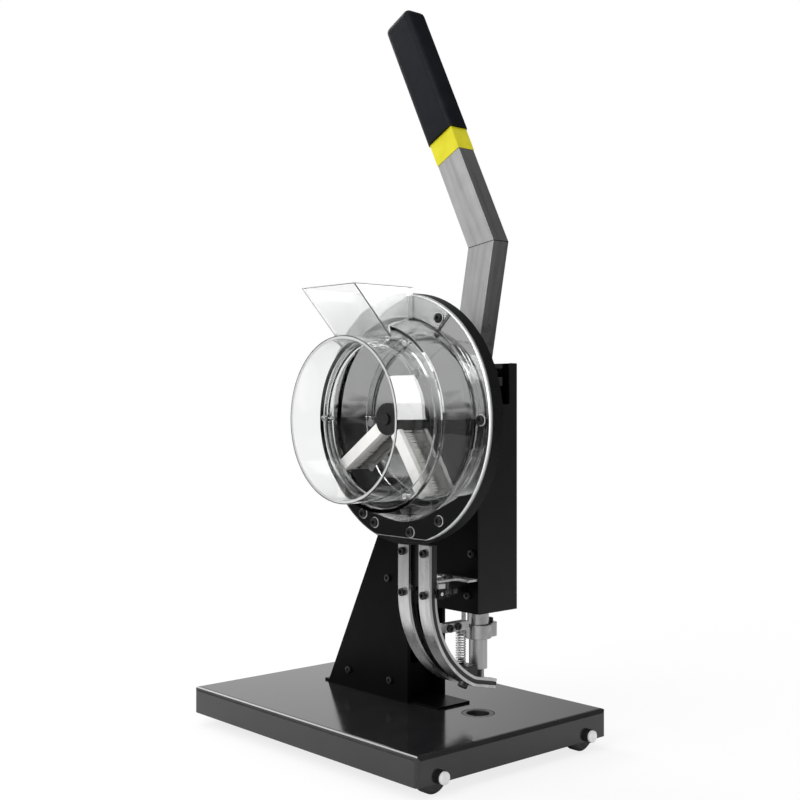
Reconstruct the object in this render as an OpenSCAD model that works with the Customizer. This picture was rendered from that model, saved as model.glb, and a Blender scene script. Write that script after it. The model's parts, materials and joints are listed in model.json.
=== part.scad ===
// Hand lever eyelet machine: a sheet steel press with a clear feed drum and a curved eyelet chute.
// X runs along the drum, Y from the operator to the back, Z up from the table. Millimetres.

/* [Base] */
// Width of the base pan along X
base_w = 241; // [220:1:280]
// Depth of the base pan along Y
base_d = 334; // [300:1:380]
// Height of the folded base pan
base_h = 26; // [26:1:40]
// Sheet thickness of the base pan
base_t = 3; // [2:0.5:3]
// Bend radius of the pan's upper edges
base_r = 4; // [3.5:0.5:8]
// Gap between the table and the pan's lower edge
base_gap = 11; // [10:1:13]
// Radius of a front wheel
wheel_r = 16; // [14:0.5:16]
// Width of a front wheel
wheel_w = 14; // [8:1:20]
// Distance from a wheel's axle to the pan's side
wheel_in = 26; // [20:1:32]
// Radius of a wheel bolt's shank
wheel_bolt_r = 3; // [2.5:0.5:4]
// Radius of a rear rubber foot
foot_r = 13; // [10:1:16]
// Distance from a rear foot's axis to the pan's sides
foot_in = 42; // [30:1:50]

/* [Frame] */
// Distance from the pan's centre plane to the punch axis along X
punch_right = 18; // [10:1:24]
// Distance from the pan's front edge to the punch axis
punch_in = 67.5; // [60:0.5:80]
// Outside width of the frame
frame_w = 50; // [48:1:60]
// Thickness of a side plate
plate_t = 4; // [3:0.5:5]
// Distance from the punch axis back to the column
throat = 70; // [62:1:85]
// Depth of the column at its foot
column_d = 122; // [110:1:128]
// Slope of the column's back edge from vertical
column_lean = 26.5; // [24:0.5:27]
// Distance from the punch axis to the head's front face
head_front = 26; // [25:0.5:32]
// Height of the head's underside over the pan
head_low = 97; // [92:1:100]
// Height of the head's top over the pan
head_top = 324; // [318:1:330]
// Thickness of the front and back covers
cover_t = 2; // [1.5:0.5:3]
// Thickness of the column's foot strip
strip_t = 2; // [1.5:0.5:4]
// Length of the foot strip in front of the column
strip_out = 38; // [25:1:40]

/* [Drum] */
// Height of the drum's axis over the pan
drum_z = 273.5; // [268:0.5:280]
// Gap between the frame and the drum's back disc
disc_gap = 57; // [52:1:62]
// Radius of the back disc
disc_r = 110; // [110:1:114]
// Thickness of the back disc
disc_t = 12; // [11:1:16]
// Radius of the clear flange
flange_r = 108.5; // [105:0.5:109]
// Thickness of the clear flange
flange_t = 3; // [2:0.5:4]
// Distance from the drum's axis down to the flange's flat edge
flange_flat = 103.5; // [101:0.5:104]
// Radius of the clear body at the flange
body_r = 89.5; // [86:0.5:91]
// Radius of the clear body at its front
shoulder_r = 81; // [80:0.5:84]
// Length of the clear body
body_len = 26; // [24:1:34]
// Radius of the clear mouth ring
neck_r = 71; // [66:0.5:72]
// Length of the mouth ring in front of the body
neck_len = 40; // [34:0.5:50]
// Wall of the clear parts
clear_t = 3; // [2.5:0.5:4]
// Length of the filling funnel along X at its rim
funnel_len = 66; // [60:1:68]
// Width of the filling funnel along Y
funnel_w = 71; // [62:1:72]
// Height of the funnel's rim over the drum's axis
funnel_z = 114; // [112:0.5:125]

/* [Brush] */
// Radius of the brush shaft
brush_shaft_r = 5; // [4:0.5:6]
// Radius from the axis to a brush's outer end
brush_reach = 76; // [60:1:78]
// Width of a brush back
brush_w = 11; // [9:1:14]
// Length of the bristles
bristle_len = 10; // [7:0.5:11]
// Rows of bristles on one brush
bristle_rows = 6; // [6:1:7]
// Bristles in one row
bristle_count = 27; // [25:1:34]

/* [Chute] */
// Width of one chute strip
strip_w = 14; // [12:0.5:16]
// Width of the slot between the strips
slot_w = 13; // [12:0.5:15]
// Thickness of an outer strip
outer_t = 3; // [2:0.5:4]
// Thickness of an inner strip
inner_t = 2.5; // [2:0.5:3]
// Gap for the eyelets' flanges
flange_gap = 3.5; // [3:0.25:4]
// Outer radius of the chute's bend
chute_r = 95; // [90:1:98]
// Sweep of the chute's bend
chute_sweep = 78; // [74:0.5:80]
// Sweep where the bend turns into the tighter exit
exit_from = 62; // [56:1:66]
// Outer radius of the tighter bend before the exit
exit_r = 35; // [30:1:45]
// Height over the pan where the bend starts
chute_z = 118; // [116:1:121]
// Radial clearance between the punch sleeve and the strips
notch_gap = 0.9; // [0.6:0.1:1.5]

/* [Press] */
// Radius of the ram
ram_r = 10; // [9:0.25:10.5]
// Radius of the punch sleeve
sleeve_r = 8.5; // [8.25:0.25:10]
// Length of the punch sleeve
sleeve_len = 28; // [26:1:32]
// Height of the raised sleeve's lower face over the pan
sleeve_z = 42; // [41:0.5:44]
// Radius of the ram's clamp collar
collar_r = 12.5; // [12.5:0.5:14]
// Height of the ram's clamp collar
collar_h = 13; // [11:1:15]
// Radius of the pilot pin
pilot_r = 3.8; // [3:0.1:4.2]
// Length of the pilot pin below the sleeve
pilot_out = 14; // [10:0.5:15]
// Outside radius of the lower die
die_r = 15.5; // [14:0.5:17]
// Travel of the ram
ram_stroke = 36; // [33:0.5:36.5]

/* [Lever] */
// Distance from the punch axis back to the lever's pivot
pivot_back = 13.2; // [12:0.1:14.5]
// Radius of the lever's pivot shaft
pivot_r = 6; // [5:0.5:6.5]
// Swing of the lever in degrees
lever_swing = 70; // [67:1:72]
// Forward lean of the lever's lower part
lower_lean = 11; // [9:0.2:12]
// Backward lean of the lever's upper part
upper_lean = 26.5; // [15:0.5:30]
// Depth of the lever bar
bar_d = 31; // [28:0.5:31]
// Width of the lever bar
bar_w = 19.5; // [19:0.25:22]
// Wall of the lever bar
bar_t = 2; // [1.5:0.25:3]
// Distance from the pivot to the lever's bend
bend_up = 138; // [120:1:160]
// Length of the lever above its bend
upper_len = 259; // [220:1:300]
// Distance from the bend to the tape ring
tape_at = 96; // [60:1:105]
// Width of the tape ring
tape_w = 24; // [15:1:30]
// Thickness of the rubber grip
grip_t = 3; // [1:0.25:3.5]
// Thickness of a lever cheek
cheek_t = 5; // [4:0.5:5]
// Module of the feed gears
feed_module = 1.5; // [1.25:0.25:1.75]
// Teeth of the gear on the lever's shaft
lever_teeth = 20; // [18:1:22]
// Teeth of the gear on the brush shaft
brush_teeth = 16; // [14:1:18]

/* [Clearances] */
// Radial clearance of a running fit
run_fit = 0.05; // [0.02:0.01:0.09]
// Clearance between pieces that pass each other
pass_gap = 0.6; // [0.4:0.1:1]
// Gap between glued or clamped curved pieces
seat_gap = 0.1; // [0.05:0.05:0.3]
// Thinning of each gear tooth for backlash
backlash = 0.12; // [0.08:0.02:0.2]

/* [Hidden] */
$fn = 48;
// Smallest gap or overlap, for press fits and seams
hair = 0.01;
screw_r = 2;
screw_head_r = 3.6;
screw_head_t = 2.4;
wheel_spacer_t = 4;
bolt_head_t = 2.5;
bolt_head_r = 5.5;
bush_wall = 3;
bush_rim = 1.5;
pressure_angle = 20;

// Places that follow from the sizes above
base_top = base_gap + base_h;
bolt_out = wheel_spacer_t + bolt_head_t;
drum_front = frame_w / 2 + disc_gap + disc_t + flange_t + max(body_len + neck_len, funnel_len + seat_gap);
base_x = (drum_front - punch_right - base_w / 2) / 2;
base_y = (disc_r - punch_in) / 2;
px = base_x + punch_right;
py = base_y - base_d / 2 + punch_in;
front_y = py - head_front;
plate_y = front_y + cover_t;
foot_y = py + throat;
back_y = foot_y + column_d;
low_z = base_top + head_low;
top_z = base_top + head_top;
top_back_y = back_y - head_top * tan(column_lean);
left_x = px - frame_w / 2;
right_x = px + frame_w / 2;
inner_w = frame_w - 2 * plate_t;
dz = base_top + drum_z;
disc_x = left_x - disc_gap - disc_t;
flange_x = disc_x - flange_t;
body_x = flange_x - body_len;
mouth_x = body_x - neck_len;
floor_z = base_top - base_t;

// Feed gears and the lever's pivot
gear_t = 8;
gear_x = left_x - 16;
feed_c = feed_module * (lever_teeth + brush_teeth) / 2;
pivot_y = py + pivot_back;
pivot_z = dz + sqrt(feed_c * feed_c - pivot_back * pivot_back);
mesh_angle = atan2(dz - pivot_z, py - pivot_y);

// Crank that drives the ram through a forked yoke
crank_len = ram_stroke / (2 * sin(lever_swing / 2));
crank_pin_r = 3.5;
crank_y = pivot_y - crank_len * cos(lever_swing / 2);
crank_z = pivot_z + crank_len * sin(lever_swing / 2);
yoke_slack = 0.6;
yoke_w = bar_w - 2 * pass_gap;
yoke_back_y = pivot_y - pivot_r - 2 * pass_gap;
yoke_front_y = pivot_y - crank_len - crank_pin_r - pass_gap;
jaw_t = 4;
yoke_top_z = crank_z + crank_pin_r + yoke_slack + jaw_t;
yoke_low_z = crank_z - crank_pin_r - yoke_slack - 2 * jaw_t;
crank_boss_r = crank_pin_r + 1.8;
cheek_boss_r = pivot_r + 5;
bar_start = 34.5;
cheek_end = 46;
cheek_r = 10;
swing_end = lower_lean + lever_swing;
cover_reach = pivot_y - plate_y;
notch_z = pivot_z - bar_d / 2 * sin(swing_end)
    + (cover_reach - bar_d / 2 * cos(swing_end)) / tan(swing_end) - 2 * pass_gap;
notch_w = bar_w + 2 * cheek_t + 2 * pass_gap;
bend_y = pivot_y - bend_up * sin(lower_lean);
bend_z = pivot_z + bend_up * cos(lower_lean);

// Press tools, raised
sleeve_low_z = base_top + sleeve_z;
ram_low_z = sleeve_low_z + sleeve_len;
pilot_low_z = sleeve_low_z - pilot_out;
pilot_head_z = ram_low_z - 16;
pilot_lift = 10;
die_floor_z = base_top - 12;
die_low_z = base_top - 20;
guide_h = 30;
guide_back = 6;
guide_up = 95;
guide_high_z = low_z + guide_up;
cover_block_up = 46;
cover_block_z = low_z + cover_block_up;
cover_block_d = 13;
cover_block_h = 16;

// Chute: radii of its layers about the bend's centre
chute_in = 13;
chute_x = disc_x + chute_in;
bend_cx = chute_x + chute_r;
bend_cz = base_top + chute_z;
exit_d = chute_r - exit_r;
exit_cx = bend_cx - exit_d * cos(exit_from);
exit_cz = bend_cz - exit_d * sin(exit_from);
exit_past = 2;
exit_len = (px + exit_past - exit_cx + exit_r * cos(chute_sweep)) / sin(chute_sweep);
gap_out_r = chute_r - outer_t;
gap_in_r = gap_out_r - flange_gap;
inner_r = gap_in_r - inner_t;
chute_top_z = dz - disc_r - 1;
keeper_pin_r = 1.6;
keeper_ring_r = keeper_pin_r + run_fit + 1.9;
keeper_pin_x = bend_cx - inner_r + keeper_pin_r + 1.4;
keeper_pin_z = bend_cz + 2;
rail_y = slot_w / 2;
bracket_z = bend_cz + 9;
keeper_play = 3.5;

// Compression spring that holds the keeper strips down
spring_x = left_x + 2.5;
spring_r = 4.2;
spring_wire_r = 0.6;
spring_turns = 13;
shelf_z = low_z - 17;

foot_offsets = [[25, 18], [-34, 18]];
foot_screws = [[foot_y, base_top] + foot_offsets[0], [back_y, base_top] + foot_offsets[1]];
screw_points = [
    [py - 12, low_z + guide_h / 2 + 1],
    [py - 5, guide_high_z + guide_h / 2],
    [plate_y + 7, cover_block_z + cover_block_h / 2],
    foot_screws[0],
    foot_screws[1]
];
tie_r = 5;
tie_offsets = [[28, 20], [52, 25]];
tie_points = [[foot_y, low_z] + tie_offsets[0], [py, guide_high_z] + tie_offsets[1]];

// Round bar along X, Y or Z from a start point
module rod_x(p, r, len) translate(p) rotate([0, 90, 0]) cylinder(r = r, h = len);
module rod_y(p, r, len) translate(p) rotate([-90, 0, 0]) cylinder(r = r, h = len);
module rod_z(p, r, len) translate(p) cylinder(r = r, h = len);

// Sheet whose outline is drawn in Y and Z, or in X and Z
module sheet_x(x, t) translate([x, 0, 0]) rotate([90, 0, 90]) linear_extrude(t) children();
module sheet_y(y, t) translate([0, y + t, 0]) rotate([90, 0, 0]) linear_extrude(t) children();

// Block between two corners
module block(a, b) translate(a) cube(b - a);

// Screw along X with its head on the side that way points to
module x_screw(x, p, way, shank, head_r = screw_head_r, head_t = screw_head_t, shank_r = screw_r) {
    rod_x([way > 0 ? x : x - head_t, p[0], p[1]], head_r, head_t);
    rod_x([way > 0 ? x - shank : x, p[0], p[1]], shank_r, shank);
}

// Involute gear outline; tooth 0 points along the first axis
function involute(a) = tan(a) * 180 / PI - a;
function tooth_half(r, teeth, pitch_r) =
    90 / teeth - backlash / pitch_r * 90 / PI + involute(pressure_angle)
    - involute(acos(min(1, pitch_r * cos(pressure_angle) / r)));
function gear_outline(m, teeth) =
    let (pitch_r = m * teeth / 2, tip_r = pitch_r + 0.95 * m, root_r = pitch_r - 1.25 * m)
    let (start_r = max(root_r, pitch_r * cos(pressure_angle)), steps = 4)
    let (flank = [for (j = [0:steps]) let (r = start_r + (tip_r - start_r) * j / steps)
        [r, tooth_half(r, teeth, pitch_r)]])
    let (side = concat([[root_r - hair, flank[0][1]]], flank))
    [for (i = [0:teeth - 1]) let (a = i * 360 / teeth)
        each concat(
            [for (p = side) p[0] * [cos(a - p[1]), sin(a - p[1])]],
            [for (k = [len(side) - 1:-1:0]) side[k][0] * [cos(a + side[k][1]), sin(a + side[k][1])]])];
module gear_x(x, c, m, teeth, turn, bore_r)
    difference() {
        sheet_x(x, gear_t) translate(c) rotate(turn) polygon(gear_outline(m, teeth));
        rod_x([x - 1, c[0], c[1]], bore_r, gear_t + 2);
    }

// Helical tube along Z as one polyhedron: 8 rings a curl and 6 sides
COIL_RINGS = 8;
COIL_SIDES = 6;
function coil_point(i, k, r, wire, rise) =
    let (a = 360 * i / COIL_RINGS, b = 360 * k / COIL_SIDES)
    [(r + wire * cos(b)) * cos(a), (r + wire * cos(b)) * sin(a), rise * i / COIL_RINGS + wire * sin(b)];
module coil(r, wire, turns, rise) {
    n = turns * COIL_RINGS;
    points = [for (i = [0:n]) for (k = [0:COIL_SIDES - 1]) coil_point(i, k, r, wire, rise)];
    sides = [for (i = [0:n - 1]) for (k = [0:COIL_SIDES - 1])
        let (q = (k + 1) % COIL_SIDES, a = i * COIL_SIDES, b = a + COIL_SIDES)
        each [[a + k, b + k, b + q], [a + k, b + q, a + q]]];
    first = [for (k = [1:COIL_SIDES - 2]) [0, k, k + 1]];
    last = [for (k = [1:COIL_SIDES - 2]) [n * COIL_SIDES, n * COIL_SIDES + k + 1, n * COIL_SIDES + k]];
    polyhedron(points, concat(sides, first, last));
}

// Base pan and what it stands on
wheel_xs = [base_x - base_w / 2 + wheel_in, base_x + base_w / 2 - wheel_in];
pan_front_y = base_y - base_d / 2;
pan_back_y = base_y + base_d / 2;
// Outline with arcs on its upper corners, or on all four
function corner_arc(c, r, from) = [for (k = [0:4]) c + r * [cos(from + k * 22.5), sin(from + k * 22.5)]];
function pan_section(c, w) = concat(
    [[c - w / 2, base_gap], [c + w / 2, base_gap]],
    corner_arc([c + w / 2 - base_r, base_top - base_r], base_r, 0),
    corner_arc([c - w / 2 + base_r, base_top - base_r], base_r, 90));
function pan_plan() = [for (q = [0:3]) let (sx = q == 0 || q == 3 ? 1 : -1, sy = q < 2 ? 1 : -1)
    each corner_arc([base_x + sx * (base_w / 2 - base_r), base_y + sy * (base_d / 2 - base_r)],
        base_r, q * 90)];
module pan_outer() intersection() {
    sheet_y(pan_front_y - 1, base_d + 2) polygon(pan_section(base_x, base_w));
    sheet_x(base_x - base_w / 2 - 1, base_w + 2) polygon(pan_section(base_y, base_d));
    linear_extrude(base_top + 1) polygon(pan_plan());
}
module base_pan() color("#1b1b1c") difference() {
    pan_outer();
    block([base_x - base_w / 2 + base_t, pan_front_y + base_t, base_gap - 1],
        [base_x + base_w / 2 - base_t, pan_back_y - base_t, floor_z]);
    rod_z([px, py, floor_z - 1], die_r + seat_gap, base_t + 2);
    for (x = wheel_xs) rod_y([x, pan_front_y - 1, wheel_r], wheel_bolt_r + seat_gap, base_t + 2);
}
wheel_y = pan_front_y + base_t + 2;
module wheel(x) color("#161616") translate([x, wheel_y, wheel_r]) rotate([-90, 0, 0])
    rotate_extrude() polygon([
        [wheel_bolt_r + run_fit, 0], [wheel_r - 3, 0], [wheel_r, 3], [wheel_r, wheel_w - 3],
        [wheel_r - 3, wheel_w], [wheel_bolt_r + run_fit, wheel_w]]);
module wheel_left() wheel(wheel_xs[0]);
module wheel_right() wheel(wheel_xs[1]);
nut_t = 5;
module wheel_bolts() color("#d5d6d8") for (x = wheel_xs) {
    rod_y([x, pan_front_y - bolt_out, wheel_r], bolt_head_r, bolt_head_t);
    rod_y([x, pan_front_y - wheel_spacer_t, wheel_r], wheel_bolt_r,
        wheel_spacer_t + base_t + wheel_w + nut_t + 3);
    difference() {
        rod_y([x, wheel_y + wheel_w + 0.5, wheel_r], bolt_head_r, nut_t, $fn = 6);
        rod_y([x, wheel_y + wheel_w, wheel_r], wheel_bolt_r + hair, nut_t + 1);
    }
}
module wheel_spacers() color("#101010") for (x = wheel_xs) difference() {
    rod_y([x, pan_front_y - wheel_spacer_t, wheel_r], bolt_head_r + 0.5, wheel_spacer_t);
    rod_y([x, pan_front_y - bolt_out, wheel_r], wheel_bolt_r + seat_gap, bolt_out + 1);
}
module rear_feet() color("#141414") for (s = [-1, 1])
    translate([base_x + s * (base_w / 2 - foot_in), pan_back_y - foot_in, 0]) rotate_extrude()
        polygon([[0, 0], [foot_r - 1, 0], [foot_r, 1], [foot_r, 9], [foot_r - 4, 12],
            [foot_r - 4, floor_z], [0, floor_z]]);

// Frame
module side_holes(x0, len) {
    for (p = concat(screw_points, tie_points)) rod_x([x0, p[0], p[1]], screw_r + seat_gap, len);
}
module plate_outline() polygon([
    [plate_y, low_z], [plate_y, top_z], [top_back_y, top_z], [back_y, base_top], [foot_y, base_top],
    [foot_y, low_z]]);
module side_plate(x, bush_r) difference() {
    sheet_x(x, plate_t) plate_outline();
    side_holes(x - 1, plate_t + 2);
    rod_x([x - 1, pivot_y, pivot_z], bush_r, plate_t + 2);
}
pivot_bush_r = pivot_r + bush_wall;
brush_bush_r = brush_shaft_r + bush_wall;
module side_plate_left() color("#19191a") difference() {
    side_plate(left_x, pivot_bush_r + hair);
    rod_x([left_x - 1, py, dz], brush_bush_r + hair, plate_t + 2);
    for (p = post_points) rod_x([left_x - 1, p[0], p[1]], screw_r + seat_gap, plate_t + 2);
}
module side_plate_right() color("#19191a") side_plate(right_x - plate_t, pivot_bush_r + hair);
module front_cover() color("#1d1d1e") sheet_y(front_y, cover_t) difference() {
    translate([left_x, low_z]) square([frame_w, top_z - low_z]);
    translate([px - notch_w / 2, notch_z]) square([notch_w, top_z]);
}
slant = cover_t / cos(column_lean);
module back_cover() color("#1d1d1e") sheet_x(left_x + plate_t, inner_w) polygon([
    [back_y, base_top + strip_t], [back_y - slant, base_top + strip_t],
    [top_back_y - slant, top_z], [top_back_y, top_z]]);
module tie_rods() color("#3a3a3c") for (p = tie_points) difference() {
    rod_x([left_x + plate_t, p[0], p[1]], tie_r, inner_w);
    side_holes(left_x - 1, frame_w + 2);
}
screw_in = 9;
module plate_screws() color("#2a2a2c") for (p = concat(screw_points, tie_points)) {
    x_screw(left_x, p, -1, plate_t + screw_in);
    x_screw(right_x, p, 1, plate_t + screw_in);
}
module drilled_block(a, b) difference() {
    block(a, b);
    side_holes(left_x - 1, frame_w + 2);
}
module cover_block() color("#303032")
    drilled_block([left_x + plate_t, plate_y, cover_block_z],
        [right_x - plate_t, plate_y + cover_block_d, cover_block_z + cover_block_h]);
module guide(z) difference() {
    drilled_block([left_x + plate_t, plate_y, z], [right_x - plate_t, py + ram_r + guide_back, z + guide_h]);
    rod_z([px, py, z - 1], ram_r + run_fit, guide_h + 2);
}
module ram_guides() color("#2c2c2e") for (z = [low_z, guide_high_z]) guide(z);
strip_back = 10;
foot_block = 24;
foot_block_h = 34;
module column_foot() color("#202021") difference() {
    union() {
        block([left_x + plate_t, foot_y - strip_out, base_top],
            [right_x - plate_t, back_y + strip_back, base_top + strip_t]);
        for (p = foot_screws) block([left_x + plate_t, p[0] - foot_block / 2, base_top],
            [right_x - plate_t, p[0] + foot_block / 2, base_top + foot_block_h]);
    }
    side_holes(left_x - 1, frame_w + 2);
    sheet_x(left_x, frame_w) polygon([[back_y + seat_gap, base_top + strip_t],
        [back_y - slant - seat_gap, base_top + strip_t], [top_back_y - slant, top_z], [back_y + 40, top_z]]);
}
module bush(x, c, r, way, len) difference() {
    union() {
        rod_x([way > 0 ? x : x - len, c[0], c[1]], r + bush_wall, len);
        rod_x([way > 0 ? x - bush_rim : x, c[0], c[1]], r + bush_wall + 2, bush_rim);
    }
    rod_x([x - len - 2, c[0], c[1]], r + run_fit, 2 * len + 4);
}
module pivot_bushes() color("#b08d4a") {
    bush(left_x, [pivot_y, pivot_z], pivot_r, 1, plate_t);
    bush(right_x, [pivot_y, pivot_z], pivot_r, -1, plate_t);
}
module die_holder() color("#6c6d70") difference() {
    rod_z([px, py, die_low_z - 4], die_r + 6, floor_z - die_low_z + 4);
    rod_z([px, py, die_low_z], die_r + seat_gap, base_top);
    rod_z([px, py, 0], die_hole_r + 1, base_top);
}
die_bowl_r = 10.5;
die_hole_r = 6;
die_edge = 0.6;
module die() color("#c9cacc") translate([px, py, 0]) rotate_extrude() polygon([
    [die_hole_r, die_low_z], [die_r, die_low_z], [die_r, base_top - die_edge], [die_r - die_edge, base_top],
    [die_bowl_r + die_edge, base_top], [die_bowl_r, base_top - die_edge], [die_bowl_r, die_floor_z],
    [die_hole_r, die_floor_z]]);

// Feed drum
post_r = 6;
post_offsets = [[-17, 40], [-16, -43], [42, -44], [44, -4]];
post_points = [for (p = post_offsets) [py, dz] + p];
flange_ring_r = (flange_r + body_r) / 2;
flange_head_r = 4.2;
flange_points = [for (a = [0, 120, 180, 240, 262, 290, 300]) [py, dz] + flange_ring_r * [cos(a), sin(a)]];
neck_back = flange_t + body_len - clear_t;
neck_flange_r = shoulder_r - clear_t - 1;
neck_ring_r = (neck_r + neck_flange_r) / 2;
neck_screw_r = 1.5;
neck_head_r = 2.4;
neck_points = [for (a = [0:120:240]) [py, dz] + neck_ring_r * [cos(a), sin(a)]];
feed_slot_w = 2 * rail_y + 8;
feed_slot_in = 14;
disc_skin = 3;
module drum_disc() color("#151516") difference() {
    rod_x([disc_x, py, dz], disc_r, disc_t, $fn = 96);
    rod_x([disc_x - 1, py, dz], brush_bush_r + hair, disc_t + 2);
    for (p = post_points) {
        rod_x([disc_x - 1, p[0], p[1]], screw_r + seat_gap, disc_t + 2);
        rod_x([disc_x - 1, p[0], p[1]], screw_head_r + seat_gap, screw_head_t + 1);
    }
    for (p = flange_points) rod_x([disc_x - 1, p[0], p[1]], screw_r + seat_gap, screw_in);
    block([disc_x - 1, py - feed_slot_w / 2, dz - body_r + clear_t],
        [disc_x + disc_t + 1, py + feed_slot_w / 2, dz - body_r + feed_slot_in]);
    block([disc_x + disc_skin, py - feed_slot_w / 2, dz - disc_r - 1],
        [disc_x + disc_t + 1, py + feed_slot_w / 2, dz - body_r + clear_t + 1]);
}
module disc_posts() color("#8b8c90") for (p = post_points) {
    difference() {
        rod_x([disc_x + disc_t, p[0], p[1]], post_r, disc_gap);
        rod_x([disc_x, p[0], p[1]], screw_r + seat_gap, disc_t + screw_in);
        rod_x([left_x - screw_in, p[0], p[1]], screw_r + seat_gap, screw_in + 1);
    }
    x_screw(disc_x + screw_head_t, p, -1, disc_t - screw_head_t + screw_in - 1);
    x_screw(left_x + plate_t, p, 1, plate_t + screw_in - 1);
}
module brush_bushes() color("#b08d4a") {
    bush(disc_x + disc_t, [py, dz], brush_shaft_r, -1, disc_t);
    bush(left_x, [py, dz], brush_shaft_r, 1, plate_t);
}
// Profiles run as radius and distance from the disc towards the mouth
module drum_turned() translate([disc_x, py, dz]) rotate([0, -90, 0]) rotate_extrude($fn = 96) children();
funnel_side = 54.5;
funnel_foot = 18;
funnel_back_y = py + funnel_side;
funnel_y = funnel_back_y - funnel_w;
funnel_x = flange_x - seat_gap;
funnel_low = 62;
funnel_low_x = flange_x - funnel_foot;
funnel_top_z = dz + funnel_z;
module funnel_outline() polygon([
    [funnel_x, funnel_top_z], [funnel_x - funnel_len, funnel_top_z],
    [funnel_low_x, dz + funnel_low], [funnel_x, dz + funnel_low]]);
module funnel_inside() sheet_y(funnel_y + clear_t, funnel_w - 2 * clear_t) polygon([
    [funnel_x - clear_t, funnel_top_z + 1], [funnel_x - funnel_len + clear_t, funnel_top_z + 1],
    [funnel_x - funnel_len + clear_t, funnel_top_z],
    [funnel_low_x + clear_t, dz + funnel_low - 1], [funnel_x - clear_t, dz + funnel_low - 1]]);
module body_solid(grow) drum_turned() polygon([
    [0, flange_t - 1], [body_r + grow, flange_t - 1], [body_r + grow, flange_t],
    [shoulder_r + grow, flange_t + body_len + grow],
    [0, flange_t + body_len + grow]]);
module neck_solid(grow) rod_x([mouth_x - 1, py, dz], neck_r + grow, neck_len + body_len, $fn = 96);
module drum_shell() color([0.9, 0.92, 0.94, 0.35]) difference() {
    drum_turned() polygon([
        [body_r - clear_t, 0], [flange_r, 0], [flange_r, flange_t], [body_r, flange_t],
        [shoulder_r, flange_t + body_len], [neck_r + seat_gap, flange_t + body_len],
        [neck_r + seat_gap, flange_t + body_len - clear_t],
        [shoulder_r - clear_t, flange_t + body_len - clear_t], [body_r - clear_t, flange_t]]);
    block([flange_x - 1, py - flange_r, dz - flange_r - 1], [disc_x + 1, py + flange_r, dz - flange_flat]);
    for (p = flange_points) rod_x([flange_x - 1, p[0], p[1]], screw_r + seat_gap, flange_t + 2);
    neck_holes();
    intersection() {
        funnel_inside();
        block([body_x - 1, funnel_y, dz + funnel_low - 2],
            [flange_x - clear_t, funnel_back_y, dz + flange_r]);
    }
}
module drum_neck() color([0.9, 0.92, 0.94, 0.35]) difference() {
    drum_turned() polygon([
        [neck_r - clear_t, neck_back - clear_t], [neck_flange_r, neck_back - clear_t],
        [neck_flange_r, neck_back - seat_gap], [neck_r, neck_back - seat_gap],
        [neck_r, flange_t + body_len + neck_len], [neck_r - clear_t, flange_t + body_len + neck_len]]);
    neck_holes();
}
module neck_holes() for (p = neck_points)
    rod_x([body_x - 1, p[0], p[1]], neck_screw_r + seat_gap, 2 * clear_t + 2);
module neck_screws() color("#d0d1d3") for (p = neck_points)
    x_screw(body_x, p, -1, 2 * clear_t, neck_head_r, shank_r = neck_screw_r);
module flange_screws() color("#2b2b2d") for (p = flange_points)
    x_screw(flange_x, p, -1, flange_t + screw_in - 2, flange_head_r);
module funnel() color([0.9, 0.92, 0.94, 0.35]) difference() {
    sheet_y(funnel_y, funnel_w) funnel_outline();
    funnel_inside();
    body_solid(seat_gap);
    neck_solid(seat_gap);
}

// Brush rotor
brush_turns = [-34, -125];
back_t = 6;
bristle_x = disc_x - 1 - bristle_len;
hub_r = 14;
module brush_shaft() color("#b9babd")
    rod_x([bristle_x - back_t - 4, py, dz], brush_shaft_r, left_x + plate_t - bristle_x + back_t + 4);
module brush_gear() color("#9c9da0")
    gear_x(gear_x, [py, dz], feed_module, brush_teeth, mesh_angle + 180 + 180 / brush_teeth,
        brush_shaft_r + hair);
module brush_hub() color("#d8d9da") difference() {
    rod_x([bristle_x - back_t - 2, py, dz], hub_r, back_t + 2 + bristle_len - 2);
    rod_x([bristle_x - back_t - 3, py, dz], brush_shaft_r + hair, bristle_len + back_t + 4);
}
// Turns its children about the drum's axis, once for each brush
module each_brush() translate([0, py, dz]) for (a = brush_turns)
    rotate([a, 0, 0]) children();
brush_in = hub_r + seat_gap;
slice_t = 1;
slice_in = 0.5;
module brush_backs() color("#e2e0d8") each_brush()
    block([bristle_x - back_t, brush_in, -brush_w / 2], [bristle_x - slice_t, brush_reach, brush_w / 2]);
bristle_r = 0.45;
module brush_bristles() color("#f0eee6") each_brush() {
    block([bristle_x - slice_t, brush_in + slice_in, slice_in - brush_w / 2],
        [bristle_x, brush_reach - slice_in, brush_w / 2 - slice_in]);
    sheet_x(bristle_x - slice_t / 2, bristle_len + slice_t / 2)
        for (i = [0:bristle_count - 1]) for (j = [0:bristle_rows - 1])
            translate([brush_in + 2.5 + (brush_reach - brush_in - 5) * i / (bristle_count - 1),
                (brush_w - 3) * (j / (bristle_rows - 1) - 0.5)]) circle(r = bristle_r, $fn = 3);
}

// Line down the chute at one radius: straight run, wide bend, tighter bend and straight exit
BEND_STEPS = 24;
EXIT_STEPS = 8;
function turned(c, r, a) = c - r * [cos(a), sin(a)];
function chute_line(r, z1) = concat(
    [[bend_cx - r, z1]],
    [for (k = [0:BEND_STEPS]) turned([bend_cx, bend_cz], r, exit_from * k / BEND_STEPS)],
    [for (k = [1:EXIT_STEPS]) turned([exit_cx, exit_cz], r - exit_d,
        exit_from + (chute_sweep - exit_from) * k / EXIT_STEPS)],
    [turned([exit_cx, exit_cz], r - exit_d, chute_sweep) + exit_len * [sin(chute_sweep), -cos(chute_sweep)]]);
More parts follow.
